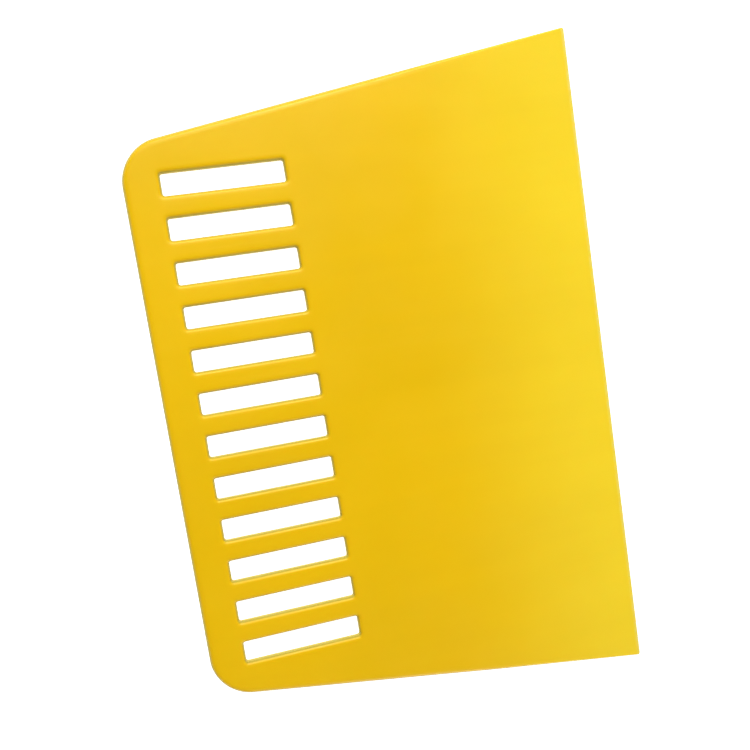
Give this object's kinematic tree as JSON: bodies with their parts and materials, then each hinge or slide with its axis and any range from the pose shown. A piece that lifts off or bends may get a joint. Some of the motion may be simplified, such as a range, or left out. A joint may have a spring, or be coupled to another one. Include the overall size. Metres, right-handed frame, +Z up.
{
  "type": "squeegee applicator",
  "caption": "Flat one-piece plastic squeegee with a slotted grip, rounded handle corners and a blade that thins to a long straight edge.",
  "frame": {"origin": "on the flat underside, at the middle of the box round the plate", "axes": "+X from the handle end to the working edge, +Y along the working edge, +Z up out of the face with the rounded rim"},
  "size_m": [0.125, 0.1858, 0.0025],
  "materials": {
    "yellow_plastic": "satin-gloss moulded polypropylene, slightly translucent"
  },
  "bodies": {
    "root": {"scraper_plate": "yellow_plastic"}
  },
  "joints": []
}
